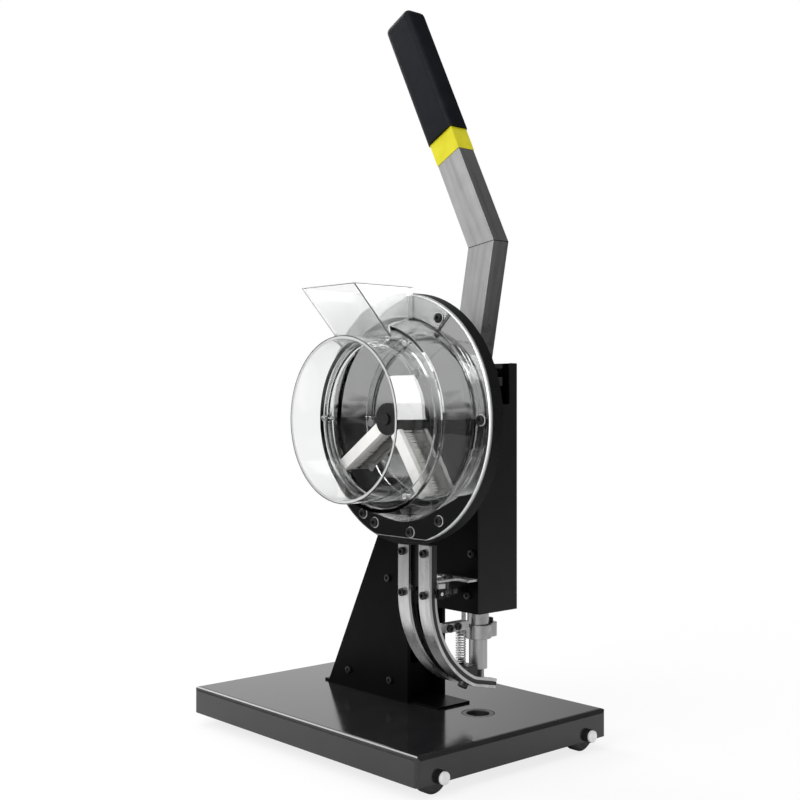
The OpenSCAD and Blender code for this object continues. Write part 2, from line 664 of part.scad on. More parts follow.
// One layer of the chute, between two of these lines
module chute_layer(r_in, r_out, y0, y1, z1) {
    line_in = chute_line(r_in, z1);
    sheet_y(y0, y1 - y0)
        polygon(concat(chute_line(r_out, z1), [for (k = [len(line_in) - 1:-1:0]) line_in[k]]));
}
// Moves its children from the bend's start along the bend
module along_bend(a) translate([bend_cx, 0, bend_cz]) rotate([0, -a, 0])
    translate([-bend_cx, 0, -bend_cz]) children();
module punch_way(r) rod_z([px, py, base_top], r + notch_gap, head_low);
chute_screw_zs = [chute_top_z - 7, bend_cz + 1];
chute_screw_y = rail_y + strip_w / 2 + 0.5;
bend_screw_a = 59;
bend_screw_y = py - rail_y - strip_w + 4;
module chute_screw_holes(r) {
    for (z = chute_screw_zs) for (s = [-1, 1])
        rod_x([chute_x - 1, py + s * chute_screw_y, z], r, outer_t + flange_gap + 1 - pass_gap);
    along_bend(bend_screw_a)
        rod_x([chute_x - 1, bend_screw_y, bend_cz], r, outer_t + flange_gap + 1 - pass_gap);
}
module chute_strip(y0) difference() {
    chute_layer(gap_out_r, chute_r, y0, y0 + strip_w, chute_top_z);
    punch_way(sleeve_r);
    chute_screw_holes(screw_r + seat_gap);
}
module chute_left() color("#b5b6b8") chute_strip(py + rail_y);
module chute_right() color("#b5b6b8") chute_strip(py - rail_y - strip_w);
pocket = 4;
spacer_in_r = gap_in_r + pass_gap / 2;
back_low_z = bracket_z - 2;
module chute_spacers() color("#121213") difference() {
    union() {
        for (y0 = [py - rail_y - strip_w, py + rail_y + pocket])
            chute_layer(spacer_in_r, gap_out_r - hair, y0, y0 + strip_w - pocket, chute_top_z);
        block([bend_cx - spacer_in_r - hair, py - rail_y - strip_w, back_low_z],
            [bend_cx - inner_r, py + rail_y + strip_w, chute_top_z]);
    }
    punch_way(sleeve_r);
    chute_screw_holes(screw_r + seat_gap);
}
module chute_screw(p, head_r, head_t)
    x_screw(chute_x, p, -1, outer_t + flange_gap - 2 * pass_gap, head_r, head_t);
module chute_screws() color("#0e0e0f") {
    for (z = chute_screw_zs) for (s = [-1, 1])
        chute_screw([py + s * chute_screw_y, z], screw_head_r, screw_head_t + 1);
    along_bend(bend_screw_a) chute_screw([bend_screw_y, bend_cz], screw_head_r + 0.9, 2 * screw_head_t);
}
ear_y = rail_y + strip_w + pass_gap;
ear_t = 3;
ear_out = ear_y + ear_t;
ear_w = 8;
bracket_t = 2;
bracket_x = bend_cx - inner_r;
bracket_back_w = 2 * (rail_y + strip_w);
bracket_back_h = 5;
wall_out = 12;
tongue_w = 16;
bolt_r = 3;
bolt_x = left_x - wall_out - bolt_r;
bolt_low_z = bracket_z - 14;
module chute_bracket() color("#8e8f92") difference() {
    union() {
        block([bracket_x, py - ear_out, bracket_z],
            [keeper_pin_x + ear_w / 2, py + ear_out, bracket_z + bracket_t]);
        block([bracket_x, py - tongue_w / 2, bracket_z], [left_x, py + tongue_w / 2, bracket_z + bracket_t]);
        block([left_x - wall_out, py - ear_out, bracket_z], [left_x, py + ear_out, bracket_z + bracket_t]);
        block([bracket_x, py - bracket_back_w / 2, bracket_z],
            [bracket_x + bracket_t, py + bracket_back_w / 2, bracket_z + bracket_back_h]);
        for (y0 = [py - ear_out, py + ear_y])
            block([keeper_pin_x - ear_w / 2, y0, keeper_pin_z - ear_w / 2],
                [keeper_pin_x + ear_w / 2, y0 + ear_t, bracket_z + bracket_t]);
    }
    rod_y([keeper_pin_x, py - ear_out - 1, keeper_pin_z], keeper_pin_r + hair, 2 * (ear_out + 1));
    rod_z([bolt_x, py, bracket_z - 1], bolt_r + seat_gap, bracket_t + 2);
}
// Bolt through the bracket with a short cross shaft under it
module bracket_bolt() color("#c6c7c9") {
    rod_z([bolt_x, py, bracket_z + bracket_t], bolt_r + 2, 3.5);
    rod_z([bolt_x, py, bolt_low_z], bolt_r, bracket_z + bracket_t - bolt_low_z);
    rod_x([bolt_x - 11, py, bolt_low_z + 4], bolt_r + 1.5, 22);
}
module keeper_pin() color("#c6c7c9")
    rod_y([keeper_pin_x, py - ear_out, keeper_pin_z], keeper_pin_r, 2 * ear_out);
module keeper_strip(y0) difference() {
    union() {
        chute_layer(inner_r, gap_in_r, y0, y0 + strip_w, keeper_pin_z);
        rod_y([keeper_pin_x, y0, keeper_pin_z], keeper_ring_r, strip_w);
    }
    rod_y([keeper_pin_x, y0 - 1, keeper_pin_z], keeper_pin_r + run_fit, strip_w + 2);
    for (x = [0, keeper_play / 2, keeper_play]) translate([-x, 0, 0]) punch_way(collar_r);
}
module keeper_left() color("#c2c3c5") keeper_strip(py + rail_y);
module keeper_right() color("#c2c3c5") keeper_strip(py - rail_y - strip_w);
bridge_h = 9;
bridge_half = 6;
exit_in_r = inner_r - exit_d;
seat_z = exit_cz - sqrt(exit_in_r * exit_in_r - pow(spring_x - exit_cx, 2)) + bridge_h;
stud_r = 2.6;
stud_h = 5;
module keeper_bridge() color("#8b8c8f") {
    difference() {
        block([spring_x - bridge_half, py - rail_y - bridge_h, seat_z - 2 * bridge_h],
            [spring_x + bridge_half, py + rail_y + bridge_h, seat_z]);
        chute_layer(inner_r - hair, chute_r + 2 * bridge_h, py - rail_y - strip_w, py + rail_y + strip_w,
            keeper_pin_z);
    }
    rod_z([spring_x, py, seat_z - 1], stud_r, stud_h + 1);
}
shelf_h = 8;
shelf_w = 9;
shelf_in = 20;
shelf_out = 6;
shelf_post_r = 2;
shelf_post_x = spring_x + shelf_out - 2.4;
module spring_shelf() color("#a9aaac") {
    block([left_x - shelf_in, py - shelf_w / 2, shelf_z],
        [spring_x + shelf_out, py + shelf_w / 2, shelf_z + shelf_h]);
    rod_z([shelf_post_x, py, shelf_z + 1], shelf_post_r, low_z - shelf_z - 1);
    rod_z([spring_x, py, shelf_z - stud_h], stud_r, stud_h + 1);
}
spring_low_z = seat_z + spring_wire_r + 0.1;
spring_rise = (shelf_z - spring_low_z - spring_wire_r - 0.1) / spring_turns;
module keeper_spring() color("#cfd0d2")
    translate([spring_x, py, spring_low_z]) coil(spring_r, spring_wire_r, spring_turns, spring_rise);
// Least gap between two neighbouring curls, measured on the tube's own points
coil_gap = min([for (k = [0:COIL_SIDES - 1]) for (q = [0:COIL_SIDES - 1]) for (i = [-1:1])
    norm(coil_point(COIL_RINGS + i, k, spring_r, spring_wire_r, spring_rise)
        - coil_point(0, q, spring_r, spring_wire_r, spring_rise))]);
echo(coil_gap = coil_gap);

// Ram and tools
ram_flat = 2 * (pivot_r + pass_gap);
module ram() color("#a6a7aa") difference() {
    rod_z([px, py, ram_low_z], ram_r, yoke_low_z - ram_low_z);
    block([px - ram_r - 1, yoke_back_y, pivot_z - ram_flat - pass_gap],
        [px + ram_r + 1, py + ram_r + 1, yoke_low_z + 1]);
    for (x0 = [px - 2 * ram_r - yoke_w / 2, px + yoke_w / 2])
        block([x0, py - ram_r - 1, pivot_z - cheek_boss_r - pass_gap],
            [x0 + 2 * ram_r, py + ram_r + 1, yoke_low_z + 1]);
}
module ram_yoke() color("#6f7073") difference() {
    block([px - yoke_w / 2, yoke_front_y, yoke_low_z], [px + yoke_w / 2, yoke_back_y, yoke_top_z]);
    block([px - yoke_w, yoke_front_y - 1, crank_z - crank_pin_r - yoke_slack],
        [px + yoke_w, crank_y + crank_pin_r + pass_gap, crank_z + crank_pin_r + yoke_slack]);
}
lug_w = 14;
lug_out = 9.5;
lug_x = px + collar_r + lug_out - lug_w / 2;
module ram_collar() color("#b3b4b6") difference() {
    union() {
        rod_z([px, py, ram_low_z], collar_r, collar_h);
        block([px + ram_r, py - lug_w / 2 + 0.5, ram_low_z],
            [lug_x, py + lug_w / 2 - 0.5, ram_low_z + collar_h]);
        rod_z([lug_x, py, ram_low_z], lug_w / 2, collar_h);
    }
    rod_z([px, py, ram_low_z - 1], ram_r + seat_gap, collar_h + 2);
    rod_z([lug_x, py, ram_low_z + 2], screw_r + seat_gap, collar_h);
}
// Stop screw that stands on the lug
module collar_screw() color("#1a1a1b") {
    rod_z([lug_x, py, ram_low_z + collar_h], screw_head_r, 4);
    rod_z([lug_x, py, ram_low_z + 3], screw_r, collar_h - 3);
}
pilot_head_r = 5.8;
module punch_sleeve() color("#c4c5c7") difference() {
    rod_z([px, py, sleeve_low_z], sleeve_r, sleeve_len);
    rod_z([px, py, sleeve_low_z - 1], pilot_r + run_fit, sleeve_len);
    rod_z([px, py, pilot_head_z - seat_gap], pilot_head_r + pass_gap / 2, sleeve_len);
    wire_run(wire_r + seat_gap);
}
module pilot_pin() color("#1c1c1d") translate([px, py, 0]) rotate_extrude() polygon([
    [0, pilot_low_z], [pilot_r * 0.4, pilot_low_z], [pilot_r, pilot_low_z + 7], [pilot_r, pilot_head_z],
    [pilot_head_r, pilot_head_z], [pilot_head_r, pilot_head_z + 4], [0, pilot_head_z + 4]]);
module pilot_spring() color("#b9babc") difference() {
    rod_z([px, py, pilot_head_z + 4 + seat_gap], pilot_head_r, ram_low_z - pilot_head_z - 4 - 2 * seat_gap);
    rod_z([px, py, pilot_head_z], pilot_head_r - 1.2, sleeve_len);
}
wire_r = 0.8;
wire_x = px + pilot_r + 3;
wire_bend = 2.5;
module wire_run(r) {
    rod_z([wire_x, py, pilot_low_z + wire_bend + 1.5], r, pilot_out + 1);
    translate([wire_x - wire_bend, py, pilot_low_z + wire_bend + 1.5]) rotate([90, 0, 0]) rotate([0, 0, -90])
        rotate_extrude(angle = 90) translate([wire_bend, 0]) circle(r);
}
module pilot_wire() color("#bfc0c2") wire_run(wire_r);

// Lever
module lever_shaft() color("#8a8b8e")
    rod_x([gear_x - 3, pivot_y, pivot_z], pivot_r, right_x + 4 - gear_x + 3);
module lever_gear() color("#9c9da0")
    gear_x(gear_x, [pivot_y, pivot_z], feed_module, lever_teeth, mesh_angle, pivot_r + hair);
module bar_2d(a, b, half) {
    d = (b - a) / norm(b - a);
    n = half * [-d[1], d[0]];
    polygon([a + n, b + n, b - n, a - n]);
}
pivot_c = [pivot_y, pivot_z];
crank_c = [crank_y, crank_z];
cheek_c = pivot_c + cheek_end * [-sin(lower_lean), cos(lower_lean)];
lever_pin_r = 3;
lever_pin_in = 9;
pin_c = pivot_c + (bar_start + lever_pin_in) * [-sin(lower_lean), cos(lower_lean)];
module cheek(x) difference() {
    union() {
        rod_x([x, pivot_y, pivot_z], cheek_boss_r, cheek_t);
        rod_x([x, crank_y, crank_z], crank_boss_r, cheek_t);
        rod_x([x, cheek_c[0], cheek_c[1]], cheek_r, cheek_t);
        sheet_x(x, cheek_t) bar_2d(pivot_c, crank_c, crank_boss_r - 0.5);
        sheet_x(x, cheek_t) bar_2d(pivot_c, cheek_c, cheek_r - 0.5);
    }
    rod_x([x - 1, pivot_y, pivot_z], pivot_r + hair, cheek_t + 2);
    rod_x([x - 1, crank_y, crank_z], crank_pin_r + hair, cheek_t + 2);
    rod_x([x - 1, pin_c[0], pin_c[1]], lever_pin_r + hair, cheek_t + 2);
}
module lever_cheeks() color("#1a1a1b") {
    cheek(px - bar_w / 2 - cheek_t);
    cheek(px + bar_w / 2);
}
module crank_pin() color("#9a9b9e")
    rod_x([px - bar_w / 2 - cheek_t, crank_y, crank_z], crank_pin_r, bar_w + 2 * cheek_t);
lower_dir = [-sin(lower_lean), cos(lower_lean)];
upper_dir = [sin(upper_lean), cos(upper_lean)];
bend_c = [bend_y, bend_z];
function front_of(d) = [-d[1], d[0]];
function mitre(half) = let (m = front_of(lower_dir) + front_of(upper_dir))
    m / norm(m) * half / cos((lower_lean + upper_lean) / 2);
function bar_outline(half, from, to) =
    let (a = pivot_c + from * lower_dir, b = bend_c + to * upper_dir)
    [a + half * front_of(lower_dir), bend_c + mitre(half), b + half * front_of(upper_dir),
     b - half * front_of(upper_dir), bend_c - mitre(half), a - half * front_of(lower_dir)];
module lever_bar() color("#a9aaac") difference() {
    sheet_x(px - bar_w / 2, bar_w) polygon(bar_outline(bar_d / 2, bar_start, upper_len - grip_t - 0.2));
    sheet_x(px - bar_w / 2 + bar_t, bar_w - 2 * bar_t)
        polygon(bar_outline(bar_d / 2 - bar_t, bar_start - 1, upper_len));
    rod_x([px - bar_w, pin_c[0], pin_c[1]], lever_pin_r + hair, 2 * bar_w);
}
module lever_pin() color("#151516")
    rod_x([px - bar_w / 2 - cheek_t, pin_c[0], pin_c[1]], lever_pin_r, bar_w + 2 * cheek_t);
// Torsion spring on the pivot shaft, between the left plate and the lever
return_wire_r = 0.6;
return_turns = 3;
return_space = inner_w / 2 - bar_w / 2 - cheek_t;
return_rise = (return_space - 2 * return_wire_r - 2 * seat_gap) / return_turns;
module return_spring() color("#9fa0a3")
    translate([left_x + plate_t + return_wire_r + seat_gap, pivot_y, pivot_z]) rotate([0, 90, 0])
        coil(pivot_r + 1.6, return_wire_r, return_turns, return_rise);
// Frame at the bend with Z along the lever's upper part
module upper_part() translate([px, bend_y, bend_z]) rotate([-upper_lean, 0, 0]) children();
module bar_box(grow, z0, z1) translate([-bar_w / 2 - grow, -bar_d / 2 - grow, z0])
    cube([bar_w + 2 * grow, bar_d + 2 * grow, z1 - z0]);
tape_t = 0.5;
module lever_tape() color("#e5dc1c") upper_part() difference() {
    bar_box(tape_t, tape_at, tape_at + tape_w - seat_gap);
    bar_box(hair, tape_at - 1, tape_at + tape_w + 1);
}
grip_round = 2 * grip_t;
module lever_grip() color("#1e2126") upper_part() difference() {
    hull() for (sx = [-1, 1]) for (sy = [-1, 1])
        translate([sx * (bar_w / 2 + grip_t - grip_round), sy * (bar_d / 2 + grip_t - grip_round), 0]) {
            rod_z([0, 0, tape_at + tape_w], grip_round, hair, $fn = 24);
            for (k = [0:4]) rod_z([0, 0, upper_len - grip_round * (1 - sin(k * 22.5)) - hair],
                max(grip_round * cos(k * 22.5), hair), hair, $fn = 24);
        }
    bar_box(hair, tape_at, upper_len - grip_t);
}

base_pan();
wheel_left();
wheel_right();
wheel_bolts();
wheel_spacers();
rear_feet();
column_foot();
side_plate_left();
side_plate_right();
front_cover();
back_cover();
tie_rods();
plate_screws();
cover_block();
ram_guides();
return_spring();
pivot_bushes();
die_holder();
die();
drum_disc();
disc_posts();
brush_bushes();
drum_shell();
drum_neck();
neck_screws();
flange_screws();
funnel();
brush_shaft();
brush_gear();
brush_hub();
brush_backs();
brush_bristles();
chute_left();
chute_right();
chute_spacers();
chute_screws();
chute_bracket();
bracket_bolt();
keeper_pin();
keeper_left();
keeper_right();
keeper_bridge();
spring_shelf();
keeper_spring();
ram();
ram_yoke();
ram_collar();
collar_screw();
punch_sleeve();
pilot_pin();
pilot_spring();
pilot_wire();
lever_shaft();
lever_gear();
lever_cheeks();
crank_pin();
lever_bar();
lever_pin();
lever_tape();
lever_grip();
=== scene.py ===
"""Hand lever eyelet machine: looks, small detail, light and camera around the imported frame. Metres."""
import json
import math
import random

import bmesh
import bpy
from mathutils import Matrix, Vector

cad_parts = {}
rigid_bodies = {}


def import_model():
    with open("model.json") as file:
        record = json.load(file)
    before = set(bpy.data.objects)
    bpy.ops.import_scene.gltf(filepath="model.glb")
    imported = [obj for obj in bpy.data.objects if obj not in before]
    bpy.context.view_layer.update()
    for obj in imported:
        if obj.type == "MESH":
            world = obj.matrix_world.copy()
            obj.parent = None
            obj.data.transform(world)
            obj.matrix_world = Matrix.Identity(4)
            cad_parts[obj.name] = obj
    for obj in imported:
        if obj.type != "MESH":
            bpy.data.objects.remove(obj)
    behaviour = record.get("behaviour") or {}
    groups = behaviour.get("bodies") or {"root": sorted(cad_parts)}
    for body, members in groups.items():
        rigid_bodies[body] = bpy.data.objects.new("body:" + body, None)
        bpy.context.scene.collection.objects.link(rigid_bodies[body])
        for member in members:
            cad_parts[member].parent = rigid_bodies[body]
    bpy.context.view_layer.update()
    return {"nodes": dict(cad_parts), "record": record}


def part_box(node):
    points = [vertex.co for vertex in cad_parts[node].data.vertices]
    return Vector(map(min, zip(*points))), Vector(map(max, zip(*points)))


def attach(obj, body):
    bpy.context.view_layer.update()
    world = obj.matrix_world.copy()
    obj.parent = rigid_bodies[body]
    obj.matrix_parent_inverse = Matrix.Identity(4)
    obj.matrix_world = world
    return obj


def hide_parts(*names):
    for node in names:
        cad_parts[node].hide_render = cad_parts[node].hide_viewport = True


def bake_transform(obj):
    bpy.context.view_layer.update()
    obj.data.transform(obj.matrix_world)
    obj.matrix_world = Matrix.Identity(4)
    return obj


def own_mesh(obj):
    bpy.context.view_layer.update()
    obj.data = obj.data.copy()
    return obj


MM = 0.001

for old in list(bpy.data.objects):
    bpy.data.objects.remove(old)
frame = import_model()
nodes = frame["nodes"]
scene = bpy.context.scene
scene.view_settings.view_transform = "Standard"

# Camera of the photograph: level, 42 degrees to the left of the front
CAMERA_AT = (-0.7821, -0.88125, 0.327)
CAMERA_WAY = Vector((0.6652, 0.7466, 0))
CAMERA_LENS = 55.35
cam = bpy.data.objects.new("camera", bpy.data.cameras.new("camera"))
scene.collection.objects.link(cam)
cam.location = CAMERA_AT
cam.rotation_euler = CAMERA_WAY.to_track_quat("-Z", "Y").to_euler()
cam.data.lens = CAMERA_LENS
cam.data.sensor_width = 36
cam.data.clip_start = 0.01
scene.camera = cam

# The drum's axis, mouth and flange
neck_low, neck_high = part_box("drum_neck")
shell_low, shell_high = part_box("drum_shell")
AXIS_Y = (neck_low[1] + neck_high[1]) / 2
AXIS_Z = (neck_low[2] + neck_high[2]) / 2
MOUTH_X = neck_low[0]
MOUTH_R = max(math.hypot(v.co.y - AXIS_Y, v.co.z - AXIS_Z) for v in nodes["drum_neck"].data.vertices
              if v.co.x < MOUTH_X + 0.5 * MM)
FLANGE_T = 3 * MM
FLANGE_X = shell_high[0] - FLANGE_T
FLANGE_R = (shell_high[1] - shell_low[1]) / 2

# The lever's bend, and the lean of its straight parts
BEND = Vector((0, -0.0914, 0.4695))
LOWER_LEAN = math.radians(-11)
UPPER_LEAN = math.radians(26.5)


# Materials

def tree(name):
    """A new material with its node tree and its Principled shader."""
    m = bpy.data.materials.new(name)
    m.use_nodes = True
    return m, m.node_tree, m.node_tree.nodes["Principled BSDF"]


def add(nt, kind, **values):
    """A node of that kind. A key that starts with in_ sets the input of that name or number."""
    n = nt.nodes.new(kind)
    for k, v in values.items():
        if not k.startswith("in_"):
            setattr(n, k, v)
    for k, v in values.items():
        if k.startswith("in_"):
            key = k[3:]
            n.inputs[int(key) if key.isdigit() else key.replace("_", " ")].default_value = v
    return n


def math_node(nt, operation, a, b):
    """Math node output. Each side is an output or a number."""
    n = add(nt, "ShaderNodeMath", operation=operation)
    for socket, value in zip(n.inputs, (a, b)):
        if isinstance(value, (int, float)):
            socket.default_value = value
        else:
            nt.links.new(value, socket)
    return n.outputs[0]


def coords(nt, stretch=(1, 1, 1), turn=(0, 0, 0)):
    """Object coordinates, turned and then stretched."""
    c = add(nt, "ShaderNodeTexCoord")
    r = add(nt, "ShaderNodeMapping", in_Rotation=turn)
    s = add(nt, "ShaderNodeMapping", in_Scale=stretch)
    nt.links.new(c.outputs["Object"], r.inputs["Vector"])
    nt.links.new(r.outputs["Vector"], s.inputs["Vector"])
    return s.outputs["Vector"]


def dot(nt, vector, way):
    """Dot product output of a vector output and a direction."""
    n = add(nt, "ShaderNodeVectorMath", operation="DOT_PRODUCT", in_1=way)
    nt.links.new(vector, n.inputs[0])
    return n.outputs["Value"]


def axes(nt):
    """X, Y and Z of the object coordinates."""
    s = add(nt, "ShaderNodeSeparateXYZ")
    nt.links.new(coords(nt), s.inputs[0])
    return s.outputs


def noise(nt, vector, scale, detail=4.0, rough=0.5):
    """Noise texture output at that scale, per metre."""
    n = add(nt, "ShaderNodeTexNoise", in_Scale=scale, in_Detail=detail, in_Roughness=rough)
    nt.links.new(vector, n.inputs["Vector"])
    return n.outputs["Fac"]


def ramp(nt, fac, stops):
    """Colour ramp output. Each stop is a place and a grey or a colour."""
    r = add(nt, "ShaderNodeValToRGB")
    e = r.color_ramp.elements
    while len(e) < len(stops):
        e.new(0.5)
    for item, (at, c) in zip(e, stops):
        item.position = at
        item.color = (*c, 1) if isinstance(c, tuple) else (c, c, c, 1)
    nt.links.new(fac, r.inputs["Fac"])
    return r.outputs["Color"]


def blend(nt, factor, a, b):
    """Colour mix output from a to b. Each side is an output or a colour."""
    n = add(nt, "ShaderNodeMix", data_type="RGBA")
    nt.links.new(factor, n.inputs["Factor"])
    for socket, value in ((n.inputs[6], a), (n.inputs[7], b)):
        if isinstance(value, tuple):
            socket.default_value = (*value, 1)
        else:
            nt.links.new(value, socket)
    return n.outputs[2]


def bump(nt, shader, height, strength, distance):
    """Bump from a height output, in metres."""
    b = add(nt, "ShaderNodeBump", in_Strength=strength, in_Distance=distance)
    nt.links.new(height, b.inputs["Height"])
    nt.links.new(b.outputs["Normal"], shader.inputs["Normal"])


def grey(v):
    """A grey as a colour."""
    return (v, v, v)


def surface(name, dark, light, rough, metal=0.0, scale=60.0, stretch=(1, 1, 1),
            grain=0.0, grain_scale=900.0, ior=1.5, gloss=0.5):
    """Mottled surface: two colours, a roughness band and a fine grain."""
    m, nt, p = tree(name)
    v = coords(nt, stretch)
    colour = ramp(nt, noise(nt, v, scale), [(0.3, dark), (0.7, light)])
    nt.links.new(colour, p.inputs["Base Color"])
    fine = noise(nt, v, scale * 3.1, 6.0, 0.6)
    nt.links.new(ramp(nt, fine, [(0.3, rough[0]), (0.7, rough[1])]), p.inputs["Roughness"])
    p.inputs["Metallic"].default_value = metal
    p.inputs["IOR"].default_value = ior
    p.inputs["Specular IOR Level"].default_value = gloss
    if grain:
        bump(nt, p, noise(nt, v, grain_scale, 2.0), grain, 0.2 * MM)
    return m


def brushed_lever():
    """Brushed bar: grain along each straight part, with the dark line of the mitred joint between them."""
    seam_half = 0.35 * MM
    m, nt, p = tree("lever_steel")
    lower = Vector((0, math.sin(LOWER_LEAN), math.cos(LOWER_LEAN)))
    upper = Vector((0, math.sin(UPPER_LEAN), math.cos(UPPER_LEAN)))
    mitre = (lower + upper).normalized()
    height = math_node(nt, "SUBTRACT", dot(nt, coords(nt), mitre), BEND.dot(mitre))
    above = math_node(nt, "GREATER_THAN", height, 0.0)
    seam = math_node(nt, "LESS_THAN", math_node(nt, "ABSOLUTE", height, 0.0), seam_half)
    tones, grains = [], []
    for lean in (LOWER_LEAN, UPPER_LEAN):
        v = coords(nt, (1, 1, 0.04), (lean, 0, 0))
        tones.append(noise(nt, v, 150, 5.0, 0.6))
        grains.append(noise(nt, v, 1300, 3.0, 0.6))
    stops = [(0.3, grey(0.34)), (0.5, grey(0.44)), (0.7, grey(0.52))]
    tone = blend(nt, above, ramp(nt, tones[0], stops), ramp(nt, tones[1], stops))
    stain = ramp(nt, noise(nt, coords(nt), 55, 4.0, 0.6), [(0.35, 0.0), (0.8, 0.4)])
    tone = blend(nt, stain, tone, grey(0.3))
    nt.links.new(blend(nt, seam, tone, grey(0.02)), p.inputs["Base Color"])
    nt.links.new(ramp(nt, tones[1], [(0.3, 0.24), (0.7, 0.38)]), p.inputs["Roughness"])
    p.inputs["Metallic"].default_value = 1.0
    bump(nt, p, blend(nt, above, grains[0], grains[1]), 0.25, 0.1 * MM)
    return m


def from_axis(nt, y, z):
    """Distance from the drum's axis."""
    dy = math_node(nt, "SUBTRACT", y, AXIS_Y)
    dz = math_node(nt, "SUBTRACT", z, AXIS_Z)
    return math_node(nt, "SQRT", math_node(nt, "ADD", math_node(nt, "MULTIPLY", dy, dy),
                                           math_node(nt, "MULTIPLY", dz, dz)), 0.0)


POLISH_IOR = 3.8  # of the coat on the flange's front and on the disc, which mirror the room


def clear_plastic(name, tint, ior, milk=0.0):
    """Clear acrylic, polished on the flange's front, and pale on its cut rim and on the mouth's inner edge.

    Milk is its cloudy share.
    """
    skin, rim_depth, mouth_depth, mouth_outer = 0.1 * MM, 0.3 * MM, 0.8 * MM, 0.9 * MM
    rim_frost, mouth_frost = 0.75, 0.5
    m, nt, p = tree(name)
    p.inputs["Base Color"].default_value = (*tint, 1)
    p.inputs["IOR"].default_value = ior
    x, y, z = axes(nt)
    radius = from_axis(nt, y, z)
    flange = math_node(nt, "GREATER_THAN", x, FLANGE_X - skin)
    front = math_node(nt, "MULTIPLY", flange, math_node(nt, "LESS_THAN", x, FLANGE_X + skin))
    nt.links.new(front, p.inputs["Coat Weight"])
    p.inputs["Coat IOR"].default_value = POLISH_IOR
    rim = math_node(nt, "MAXIMUM", math_node(nt, "GREATER_THAN", radius, FLANGE_R - rim_depth),
                    math_node(nt, "LESS_THAN", z, shell_low[2] + rim_depth))
    rim = math_node(nt, "MULTIPLY", rim, flange)
    mouth = math_node(nt, "MULTIPLY", math_node(nt, "LESS_THAN", x, MOUTH_X + mouth_depth),
                      math_node(nt, "LESS_THAN", radius, MOUTH_R - mouth_outer))
    cut = math_node(nt, "ADD", math_node(nt, "MULTIPLY", rim, rim_frost - milk),
                    math_node(nt, "MULTIPLY", mouth, mouth_frost))
    clear = math_node(nt, "SUBTRACT", 1.0 - milk, cut)
    nt.links.new(clear, p.inputs["Transmission Weight"])
    smear = ramp(nt, noise(nt, coords(nt), 30), [(0.35, 0.0), (0.7, 0.008)])
    nt.links.new(blend(nt, rim, smear, grey(0.5)), p.inputs["Roughness"])
    depth = add(nt, "ShaderNodeVolumeAbsorption", in_Color=(0.05, 0.06, 0.06, 1), in_Density=10)
    nt.links.new(depth.outputs[0], nt.nodes["Material Output"].inputs["Volume"])
    return m


def disc_plastic():
    """Polished black disc with a plain rim."""
    m, nt, p = tree("disc_plastic")
    rim_depth = 0.4 * MM
    _, y, z = axes(nt)
    disc_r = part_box("drum_disc")[1][1] - AXIS_Y
    rim = math_node(nt, "GREATER_THAN", from_axis(nt, y, z), disc_r - rim_depth)
    p.inputs["IOR"].default_value = 1.2
    p.inputs["Coat IOR"].default_value = POLISH_IOR
    nt.links.new(math_node(nt, "SUBTRACT", 1.0, rim), p.inputs["Coat Weight"])
    speck = noise(nt, coords(nt), 300, 6.0, 0.7)
    nt.links.new(ramp(nt, speck, [(0.35, 0.005), (0.75, 0.011)]), p.inputs["Base Color"])
    polish = ramp(nt, noise(nt, coords(nt), 40), [(0.3, 0.05), (0.7, 0.1)])
    nt.links.new(blend(nt, rim, polish, grey(0.6)), p.inputs["Roughness"])
    return m


def bracket_steel():
    """Black bracket whose top plate is made bright steel, a painted highlight for its lit top edge, over
    blackened ears.
    """
    m, nt, p = tree("bracket_steel")
    plate_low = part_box("chute_bracket")[1][2] - 7.2 * MM
    # painted highlight: the top band of the black bracket is made bright steel
    plate = math_node(nt, "GREATER_THAN", axes(nt)[2], plate_low)
    tone = noise(nt, coords(nt), 150, 5.0, 0.6)
    nt.links.new(blend(nt, plate, ramp(nt, tone, [(0.3, 0.012), (0.7, 0.03)]),
                       ramp(nt, tone, [(0.3, 0.6), (0.7, 0.75)])), p.inputs["Base Color"])
    nt.links.new(ramp(nt, tone, [(0.3, 0.25), (0.7, 0.4)]), p.inputs["Roughness"])
    p.inputs["Metallic"].default_value = 0.9
    return m


def keeper_steel():
    """Sprung strip whose inner edges, beside the slot, are painted dark as painted shade in the slot."""
    slot_half = 7.3 * MM
    m, nt, p = tree("keeper_steel")
    off = math_node(nt, "ABSOLUTE", math_node(nt, "SUBTRACT", axes(nt)[1], AXIS_Y), 0.0)
    # painted shade: the strip's edges beside the slot are made near black
    inner = math_node(nt, "LESS_THAN", off, slot_half)
    tone = noise(nt, coords(nt, (1, 1, 0.08)), 160, 4.0, 0.5)
    steel = ramp(nt, tone, [(0.3, 0.42), (0.7, 0.56)])
    nt.links.new(blend(nt, inner, steel, grey(0.012)), p.inputs["Base Color"])
    nt.links.new(ramp(nt, tone, [(0.3, 0.24), (0.7, 0.38)]), p.inputs["Roughness"])
    p.inputs["Metallic"].default_value = 1.0
    return m


